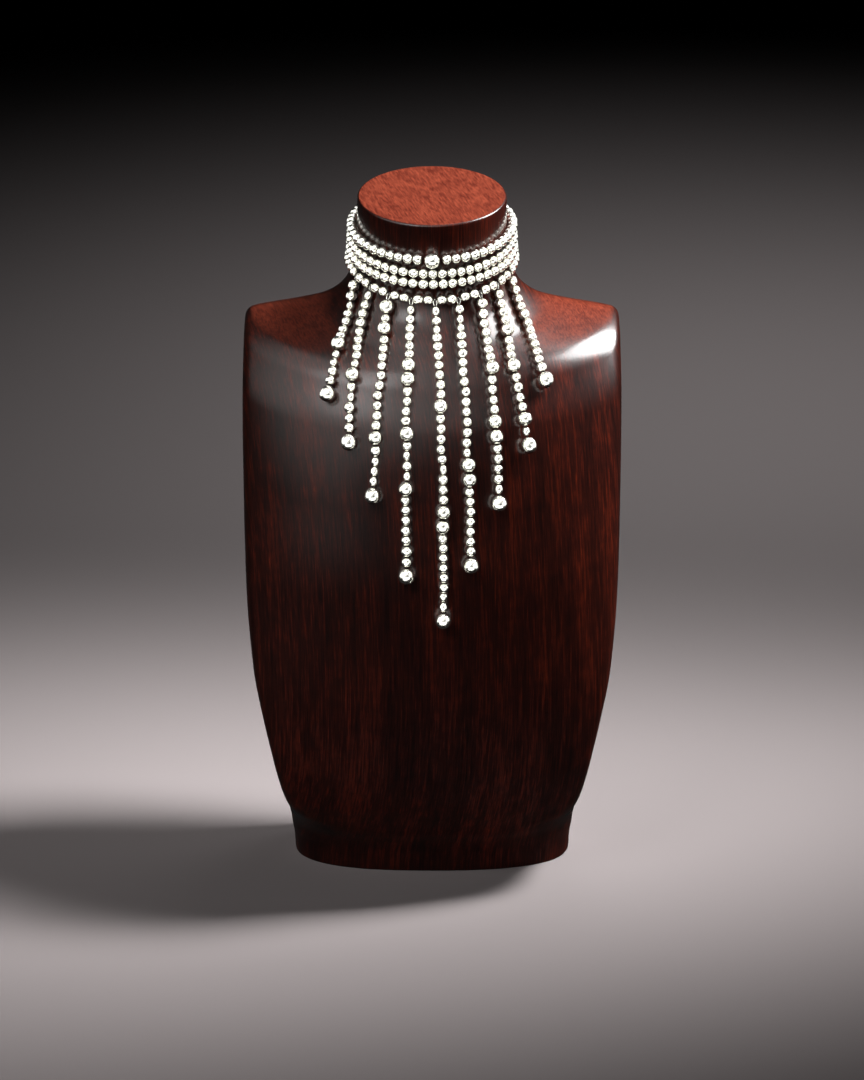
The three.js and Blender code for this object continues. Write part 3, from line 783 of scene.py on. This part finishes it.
def makeRow(row):
    # row 1 parts for the front bead, and row 4 leaves room for the strands' loops
    start, end = -math.pi + claspHalf, math.pi - claspHalf
    stretches = [(start, -frontHalf, "right"), (frontHalf, end, "left")] if row == 0 else [(start, end, "")]
    for low, high, hand in stretches:
        angles, points = rowPath(row, low, high)
        way = Way(points)
        parts = Parts()
        marks = [0, way.length]
        if row == lastRow:
            hung = [float(np.interp(strandAngle(i), angles, way.lengths)) for i in range(strandCount)]
            marks = [0] + hung + [way.length]
        for i, (a, b) in enumerate(zip(marks, marks[1:])):
            first = a + (fringe["gap"] / 2 if i > 0 else 0)
            last = b - (fringe["gap"] / 2 if i < len(marks) - 2 else 0)
            stringBeads(parts, way, first, last, rowSizes(last - first))
        parts.addTube(points[::rows["threadStep"]], bead["thread"], threadIndex)
        name = f"row_{row + 1}_beads" + (f"_{hand}" if hand else "")
        node = f"choker_row_{row + 1}" + (f"_{hand}" if hand else "")
        parts.makePiece(name, [node])


for row in range(lastRow + 1):
    makeRow(row)
print("choker rows made")


def makeFrontBead():
    across, along = bead["front"]
    parts = Parts()
    spot = rowPoint(0, 0, across)
    parts.addBead(spot, (1, 0, 0), (0, -1, 0), across, along, calm=bead["frontCalm"])
    parts.makePiece("front_nugget", ["front_bead"])


makeFrontBead()


# Fringe
def kindsOf(letters):
    names = {"s": "small", "t": "slim", "m": "stout", "L": "large"}
    return [bead[names[letter]] for letter in letters] + [bead["end"]]


def liftOf(kinds, i):
    # how far a bead's middle lies off the wood, so that a small one isn't lower than its larger neighbour
    following = kinds[min(i + 1, len(kinds) - 1)]
    return max(kinds[i][0], (kinds[i][0] + following[0]) / 2) / 2 + bead["seat"]


def stepDown(spot, normal, drift, step):
    # one step down the wood, with a share of it sideways
    upright = math.hypot(normal.y, normal.z)
    outward = -normal.x * drift / upright
    down = math.sqrt(max(1 - drift ** 2 - outward ** 2, 0))
    way = Vector((
        drift,
        (outward * normal.y - down * normal.z) / upright,
        (outward * normal.z + down * normal.y) / upright,
    ))
    found, facing, _, _ = wood.find_nearest(spot + way * step)
    return found, facing


def strandMiddles(index):
    # lays a strand down the wood from row 4, bead by bead
    letters, foot, bow = fringe["strands"][index]
    kinds = kindsOf(letters)
    angle = strandAngle(index)
    length = sum(along for _, along in kinds)
    spot, normal = neckPoint(angle, rowHeight(lastRow, angle))
    # how far the strand drifts to the side in all, and how much more it drifts out than back as it bows
    straight = foot * bust["shoulderHalfWidth"] - spot.x
    bowed = 4 * bow * bead["small"][0]
    hook = rowPoint(lastRow, angle)
    middles, outward, run, step = [hook], [], 0.0, fringe["step"]
    for i, (across, along) in enumerate(kinds):
        if i == 0:
            spacing = bead["small"][0] / 2 + bead["gap"] + fringe["loop"] + along / 2
        else:
            spacing = (kinds[i - 1][1] + along) / 2 + (bead["gap"] if i == len(kinds) - 1 else 0)
        while (spot + normal * liftOf(kinds, i) - middles[-1]).length < spacing:
            drift = (straight + bowed * (1 - 2 * run / length)) / length
            spot, normal = stepDown(spot, normal, drift, step)
            run += step
        middles.append(spot + normal * liftOf(kinds, i))
        outward.append(normal.copy())
    return kinds, hook, middles[1:], outward


def seatedMiddles(middles, end):
    # shifts the beads a little so that the last one lies where the solid end bead does
    low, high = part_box(end)
    target = (Vector(low) + Vector(high)) / 2 / metre
    shift = target - middles[-1]
    seated = [m + shift * ((i + 1) / len(middles)) for i, m in enumerate(middles)]
    # and lets the string wander a little to each side, less towards its ends
    phases = [rng.uniform(0, 2 * math.pi) for _ in fringe["waves"]]
    for i, m in enumerate(seated):
        calm = math.sin(math.pi * (i + 0.5) / len(seated))
        m.x += calm * sum(reach * math.sin(2 * math.pi * i / span + phase)
                          for (reach, span), phase in zip(fringe["waves"], phases))
    return seated


def loopPath(hook, first, outward):
    # a wire loop round row 4's thread, down to a strand's first bead
    down = first - hook
    middle = hook + down * fringe["loopMiddle"]
    tall, wide = down.length / 2, fringe["loopHalfWidth"]
    down.normalize()
    side = down.cross(outward).normalized()
    turns = np.linspace(0, 2 * math.pi, fringe["loopPoints"], endpoint=False)
    return [middle + down * (tall * math.cos(t)) + side * (wide * math.sin(t)) for t in turns]


def makeStrand(index):
    # the string of beads on its thread and wire loop, and the end bead as a piece of its own
    kinds, hook, middles, outward = strandMiddles(index)
    middles = seatedMiddles(middles, f"end_bead_{index + 1}")
    parts = Parts()
    end = Parts()
    for i, (across, along) in enumerate(kinds):
        above = middles[i - 1] if i > 0 else hook
        below = middles[min(i + 1, len(middles) - 1)]
        axis = (below - above).normalized()
        last = i == len(kinds) - 1
        bold = across > bead["small"][0]
        wide = rng.uniform(*fringe["boldAcross" if bold else "fineAcross"])
        size = fringe["end"] if last else (wide, rng.uniform(*fringe["along"]))
        target = end if last else parts
        target.addBead(middles[i], axis, outward[i], across * size[0], along * size[1])
    top = middles[0] - (middles[1] - middles[0]).normalized() * (kinds[0][1] / 2)
    parts.addTube([hook, top] + middles, bead["thread"], threadIndex)
    loop = loopPath(hook, top, outward[0])
    parts.addTube(loop + [loop[0]], fringe["loopWire"], silverIndex)
    parts.makePiece(f"strand_{index + 1}_beads", [f"strand_{index + 1}"])
    end.makePiece(f"end_nugget_{index + 1}", [f"end_bead_{index + 1}"])


for index in range(strandCount):
    makeStrand(index)
print("fringe made")

# Clasp: one plain bar, with rounded edges and a pin line where it would part
clasp = {
    "round": 0.9,
    "line": 0.25,
    "square": 7,  # 2 is round, more is squarer
    "sides": 64,
}


def makeClasp():
    low, high = (np.array(corner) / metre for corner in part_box("back_clasp"))
    middle, half = (low + high) / 2, (high - low) / 2
    square = clasp["square"]
    turn = np.linspace(0, 2 * math.pi, clasp["sides"], endpoint=False)
    c, s = np.cos(turn), np.sin(turn)
    reach = (np.abs(c) ** square + np.abs(s) ** square) ** (-1 / square)
    outline = np.stack([c * reach, s * reach], 1)
    # levels up the bar and how far each is drawn in: a rounded end, the pin line and the other end
    r, line = clasp["round"], clasp["line"]
    steps = [(0.0, 1.0), (0.2, 0.55), (0.5, 0.2), (1.0, 0.0)]
    levels = [(-half[2] + r * a, r * b) for a, b in steps]
    levels += [(-line * 2, 0), (-line, line * 0.6), (0, line), (line, line * 0.6), (line * 2, 0)]
    levels += [(half[2] - r * a, r * b) for a, b in reversed(steps)]
    rings = []
    for z, inset in levels:
        ring = np.hstack([outline * (half[:2] - inset), np.full((len(outline), 1), z)])
        rings.append(ring + middle)
    points = np.concatenate(rings + [np.array([rings[0].mean(0), rings[-1].mean(0)])])
    piece = meshPiece("clasp_bar", points, loftFaces(len(rings), len(outline)), [silverFinish],
                      ["back_clasp"])
    setPaintedEndShade(piece, np.zeros(len(points)))


makeClasp()


# Floor and light, with softboxes of their own for the silver, the wood and the floor
silverPieces = bpy.data.collections.new("silver pieces")
woodPieces = bpy.data.collections.new("wood pieces")
floorPieces = bpy.data.collections.new("floor pieces")
for piece in bpy.context.scene.collection.objects:
    if piece.type == "MESH":
        kin = silverPieces if silverFinish.name in piece.data.materials else woodPieces
        kin.objects.link(piece)

studio = {
    "floor": 40,  # metres across
    "paper": "#9a9292",
    "fleck": 3,  # millimetres
    "tent": 1.5,  # brightness of the white surroundings in front
    "tentSide": (-0.4, -0.5, 0.76),  # where the tent is brightest
    "tentReach": (0.55, 0.98),  # cosines of the turn from there to its edge and to its full light
    "tentTint": (1.0, 0.985, 0.96, 1),
    "back": 0.012,
    # the dark oval opening in front, measured on a sphere of radius 1
    "openingLevel": 0.13, "openingHalfHeight": 0.13, "openingHalfWidth": 0.45,
    "openingEdge": (0.6, 1.4), "openingLight": 0.02,
}
aim = (0, 0, 0.35)  # the middle of the necklace's fringe, in metres
# name, place in metres, size, watts, spread in degrees, where it points, what it lights (None is all)
softboxes = [
    ("floorKey", (0.95, 0.19, 1.53), (0.3, 0.8), 2.7, 28, (-0.05, 0.05, 0.1), floorPieces),
    ("woodKey", (1.04, 0.36, 1.42), (0.8, 0.9), 60, 180, aim, woodPieces),
    ("silverKey", (0.94, 0.24, 1.53), (0.7, 0.7), 20, 180, aim, silverPieces),
    ("topSoftbox", (0.4, 0.95, 1.9), (0.8, 0.8), 2.3, 66, (0.3, 0.95, 0), None),
    ("fillSoftbox", (-0.9, -1.0, 1.5), (1.0, 1.0), 0.9, 40, (-0.25, 0, 0.1), None),
    ("leftFrontPanel", (-1.25, -0.75, 0.7), (1.3, 1.3), 7, 180, aim, silverPieces),
    ("leftSidePanel", (-1.2, 0.3, 0.6), (1.2, 1.2), 7, 180, aim, silverPieces),
    ("rightFrontPanel", (1.25, -0.75, 0.7), (1.3, 1.3), 7, 180, aim, silverPieces),
    ("rightSidePanel", (1.2, 0.3, 0.6), (1.2, 1.2), 7, 180, aim, silverPieces),
    ("highPanel", (0, -0.6, 1.7), (1.5, 1.3), 8, 180, aim, silverPieces),
    ("lowPanel", (0, -0.9, 0.02), (1.8, 0.7), 9, 180, aim, silverPieces),
    ("backPanel", (0.5, 1.5, 0.9), (1.2, 1.2), 6, 180, aim, silverPieces),
]


def paperMaterial():
    # Uncoated grey background paper: quite matt, with a faint fleck.
    material, tree, surface = newMaterial("mattPaper")
    place = addNode(tree, "ShaderNodeTexCoord").outputs["Object"]
    fleck = addNode(tree, "ShaderNodeTexNoise", {
        "Vector": place, "Scale": perMetre(studio["fleck"]), "Detail": 2,
    }).outputs[0]
    rise = addNode(tree, "ShaderNodeBump", {"Height": fleck, "Strength": 0.03, "Distance": 0.0002})
    tree.links.new(rise.outputs[0], surface.inputs["Normal"])
    setFinish(surface, {"Base Color": toLinear(studio["paper"]), "Roughness": 0.8, "Specular IOR Level": 0})
    return material


def makeFloor():
    half = studio["floor"] / 2
    corners = [(-half, -half, 0), (half, -half, 0), (half, half, 0), (-half, half, 0)]
    mesh = bpy.data.meshes.new("floor")
    mesh.from_pydata(corners, [], [(0, 1, 2, 3)])
    mesh.materials.append(paperMaterial())
    floor = bpy.data.objects.new("floor", mesh)
    bpy.context.scene.collection.objects.link(floor)
    floorPieces.objects.link(floor)
    floor.visible_glossy = False  # the wood and the beads mirror the dark room, not the floor


def addSoftbox(name, place, size, power, spread, target, onlyOn):
    data = bpy.data.lights.new(name, "AREA")
    data.shape = "RECTANGLE"
    data.size, data.size_y = size
    data.energy = power
    data.spread = math.radians(spread)
    light = bpy.data.objects.new(name, data)
    light.location = place
    light.rotation_euler = (Vector(target) - Vector(place)).to_track_quat("-Z", "Y").to_euler()
    light.visible_camera = False
    if onlyOn:
        light.light_linking.receiver_collection = onlyOn
    bpy.context.scene.collection.objects.link(light)


def makeTent():
    # what the gloss mirrors: a white tent over the front, dark behind, with an opening for the lens
    world = bpy.data.worlds.new("tent")
    world.use_nodes = True
    tree = world.node_tree
    tree.nodes.clear()
    way = addNode(tree, "ShaderNodeTexCoord").outputs["Generated"]
    side = addNode(tree, "ShaderNodeVectorMath", {0: way, 1: studio["tentSide"]},
                   operation="DOT_PRODUCT")
    tone = addNode(tree, "ShaderNodeMapRange", {
        0: side.outputs["Value"], 1: studio["tentReach"][0], 2: studio["tentReach"][1],
        3: studio["back"], 4: studio["tent"],
    }, interpolation_type="SMOOTHSTEP")
    # the square of the distance from the opening's middle, where 1 is its edge
    split = addNode(tree, "ShaderNodeSeparateXYZ", {0: way})
    squares = []
    for number, middle, half in (
        (2, studio["openingLevel"], studio["openingHalfHeight"]),
        (0, 0, studio["openingHalfWidth"]),
    ):
        off = addNode(tree, "ShaderNodeMath", {0: split.outputs[number], 1: middle}, operation="SUBTRACT")
        share = addNode(tree, "ShaderNodeMath", {0: off.outputs[0], 1: half}, operation="DIVIDE")
        square = addNode(tree, "ShaderNodeMath", {0: share.outputs[0], 1: 2}, operation="POWER")
        squares.append(square.outputs[0])
    oval = addNode(tree, "ShaderNodeMath", {0: squares[0], 1: squares[1]}, operation="ADD")
    opening = addNode(tree, "ShaderNodeMapRange", {
        0: oval.outputs[0], 1: studio["openingEdge"][0], 2: studio["openingEdge"][1],
        3: studio["openingLight"], 4: 1,
    })
    strength = addNode(tree, "ShaderNodeMath", {0: tone.outputs[0], 1: opening.outputs[0]},
                       operation="MULTIPLY")
    glow = addNode(tree, "ShaderNodeBackground", {
        "Color": studio["tentTint"], "Strength": strength.outputs[0],
    })
    addNode(tree, "ShaderNodeOutputWorld", {"Surface": glow.outputs[0]})
    world.cycles_visibility.diffuse = False
    bpy.context.scene.world = world


bpy.context.scene.view_settings.view_transform = "Standard"
makeFloor()
for softbox in softboxes:
    addSoftbox(*softbox)
makeTent()
print("floor and light made")
